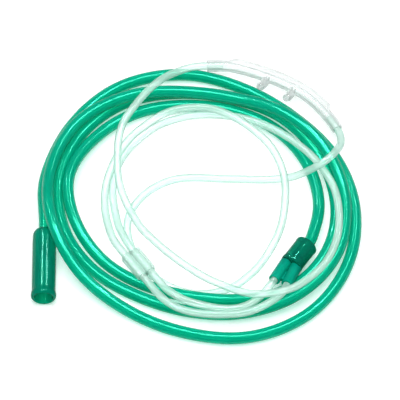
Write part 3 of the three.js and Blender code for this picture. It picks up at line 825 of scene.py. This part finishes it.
def soft_plastic(name, dark, light, rim, see, gloss, glint, tint, shadow, shine=1.0):
    """Glossy see-through PVC. dark and light are the ends of its colour's faint clouding, rim the deeper
    colour where a wall is looked at edge-on and so through more of it, see the shares of light that pass
    one wall edge-on and face-on, gloss its two roughnesses, glint the colour of its highlights, tint what
    a wall does to what is seen through it, shadow what it does to lamplight and shine the strength of its
    highlights."""
    material = bpy.data.materials.new(name)
    material.use_nodes = True
    tree = material.node_tree
    tree.nodes.clear()
    link = tree.links.new
    place = node(tree, "ShaderNodeTexCoord")
    cloud = node(tree, "ShaderNodeTexNoise", Scale=CLOUD_SCALE, Detail=4.0, Roughness=0.6)
    fine = node(tree, "ShaderNodeTexNoise", Scale=GRAIN_SCALE, Detail=3.0)
    link(place.outputs["Object"], cloud.inputs["Vector"])
    link(place.outputs["Object"], fine.inputs["Vector"])
    ramp = node(tree, "ShaderNodeValToRGB")
    for stop, at, colour in zip(ramp.color_ramp.elements, CLOUD_RANGE, (dark, light)):
        stop.position = at
        stop.color = (*colour, 1)
    link(cloud.outputs["Fac"], ramp.inputs["Fac"])
    rough = node(tree, "ShaderNodeMapRange", To_Min=gloss[0], To_Max=gloss[1])
    link(cloud.outputs["Fac"], rough.inputs["Value"])
    bump = node(tree, "ShaderNodeBump", Strength=GRAIN_STRENGTH, Distance=GRAIN_HEIGHT)
    link(fine.outputs["Fac"], bump.inputs["Height"])
    shader = node(tree, "ShaderNodeBsdfPrincipled", IOR=PVC_IOR)
    shader.inputs["Specular Tint"].default_value = (*glint, 1)
    depth = node(tree, "ShaderNodeLayerWeight", Blend=RIM_BLEND)
    level = node(tree, "ShaderNodeMapRange", To_Min=shine, To_Max=EDGE_SHINE * shine)
    link(depth.outputs["Facing"], level.inputs["Value"])
    link(level.outputs["Result"], shader.inputs["Specular IOR Level"])
    deeper = node(tree, "ShaderNodeMix", data_type="RGBA")
    deeper.inputs[MIX_COLOUR_B].default_value = (*rim, 1)
    link(depth.outputs["Facing"], deeper.inputs[MIX_FACTOR])
    link(ramp.outputs["Color"], deeper.inputs[MIX_COLOUR_A])
    link(deeper.outputs[MIX_COLOUR_RESULT], shader.inputs["Base Color"])
    link(rough.outputs["Result"], shader.inputs["Roughness"])
    link(bump.outputs["Normal"], shader.inputs["Normal"])
    facing = node(tree, "ShaderNodeLayerWeight", Blend=WALL_BLEND)
    open_share = node(tree, "ShaderNodeMapRange", To_Min=see[1], To_Max=see[0])
    link(facing.outputs["Facing"], open_share.inputs["Value"])
    through = node(tree, "ShaderNodeBsdfTransparent", Color=(*tint, 1))
    wall = node(tree, "ShaderNodeMixShader")
    link(open_share.outputs["Result"], wall.inputs["Fac"])
    link(shader.outputs["BSDF"], wall.inputs[1])
    link(through.outputs["BSDF"], wall.inputs[2])
    lamplight = node(tree, "ShaderNodeBsdfTransparent", Color=(*shadow, 1))
    path = node(tree, "ShaderNodeLightPath")
    mix = node(tree, "ShaderNodeMixShader")
    link(path.outputs["Is Shadow Ray"], mix.inputs["Fac"])
    link(wall.outputs["Shader"], mix.inputs[1])
    link(lamplight.outputs["BSDF"], mix.inputs[2])
    out = node(tree, "ShaderNodeOutputMaterial")
    link(mix.outputs["Shader"], out.inputs["Surface"])
    return material


def floor_material():
    material = bpy.data.materials.new("pale_floor")
    material.use_nodes = True
    shader = material.node_tree.nodes["Principled BSDF"]
    shader.inputs["Base Color"].default_value = (FLOOR_TONE, FLOOR_TONE, FLOOR_TONE, 1)
    shader.inputs["Roughness"].default_value = 0.6
    shader.inputs["Specular IOR Level"].default_value = 0.0
    shader.inputs["Emission Color"].default_value = (1, 1, 1, 1)
    shader.inputs["Emission Strength"].default_value = FLOOR_LIFT
    return material


def dress(piece, materials, slot, body, *nodes):
    """Gives a piece its materials and the body that it rides on, and hides the CAD nodes that it stands for.
    """
    for i, material in enumerate(materials):
        if i < len(piece.data.materials):
            piece.data.materials[i] = material
        else:
            piece.data.materials.append(material)
    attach(piece, body)
    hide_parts(*nodes)
    return piece


# Studio


def camera():
    data = bpy.data.cameras.new("camera")
    data.sensor_width = SENSOR
    data.lens = SENSOR * VIEW_DISTANCE / (IMAGE_PIXELS * METRES_PER_PIXEL)
    data.clip_end = CLIP_END
    eye = add("camera", data)
    back = Vector((0, -math.cos(VIEW_ELEVATION), math.sin(VIEW_ELEVATION)))
    eye.location = VIEW_TARGET + back * VIEW_DISTANCE
    eye.rotation_euler = (-back).to_track_quat("-Z", "Y").to_euler()
    bpy.context.scene.camera = eye


def area_light(name, place, size, power):
    data = bpy.data.lights.new(name, "AREA")
    data.shape = "RECTANGLE"
    data.size, data.size_y = size
    data.energy = power
    lamp = add(name, data)
    lamp.location = place
    lamp.rotation_euler = (-Vector(place)).to_track_quat("-Z", "Y").to_euler()
    return lamp


def studio():
    world = bpy.data.worlds.new("studio")
    world.use_nodes = True
    back = world.node_tree.nodes["Background"]
    back.inputs["Color"].default_value = (1, 1, 1, 1)
    back.inputs["Strength"].default_value = WORLD_STRENGTH
    bpy.context.scene.world = world
    area_light("key", KEY_PLACE, KEY_SIZE, KEY_POWER).visible_glossy = False
    for name, place, size, power in GLEAMS:
        area_light(name, place, size, power).visible_diffuse = False
    corners = [(x * FLOOR_HALF, y * FLOOR_HALF, 0) for x, y in SQUARE]
    floor = make_mesh("floor", corners, [(0, 1, 2, 3)])
    floor.data.materials.append(floor_material())
    bpy.context.scene.view_settings.view_transform = "Standard"


def main():
    camera()
    supply_path, left_path, right_path = tube_paths()
    looks = {name: soft_plastic(name, **values) for name, values in PLASTICS.items()}
    supply = hollow_tube("supply_tubing", supply_path, SUPPLY_DIAMETER, SUPPLY_BORE, SUPPLY_SIDES)
    left = shade(rod("left_head_tubing", left_path, HEAD_DIAMETER / 2, HEAD_SIDES))
    right = shade(rod("right_head_tubing", right_path, HEAD_DIAMETER / 2, HEAD_SIDES))
    cup = end_connector()
    fork = y_connector()
    sleeve = slide()
    face = nasal_prong_piece()
    dress(supply, (looks["green_tubing"], looks["green_bore_painted_shade"]), "green_tubing", "root", "supply_tube")
    dress(left, (looks["clear_tubing"],), "clear_tubing", "root", "left_head_tube")
    dress(right, (looks["clear_tubing"],), "clear_tubing", "root", "right_head_tube")
    dress(cup, (looks["green_fitting"],), "green_fitting", "root", "end_connector")
    dress(fork, (looks["green_collar"], looks["green_branch"]), "green_fitting", "root", "y_connector")
    dress(sleeve, (looks["clear_keeper"],), "clear_fitting", "slide", "slide")
    dress(face, (looks["clear_fitting"],), "clear_fitting", "root", "nasal_prong_piece")
    studio()


main()
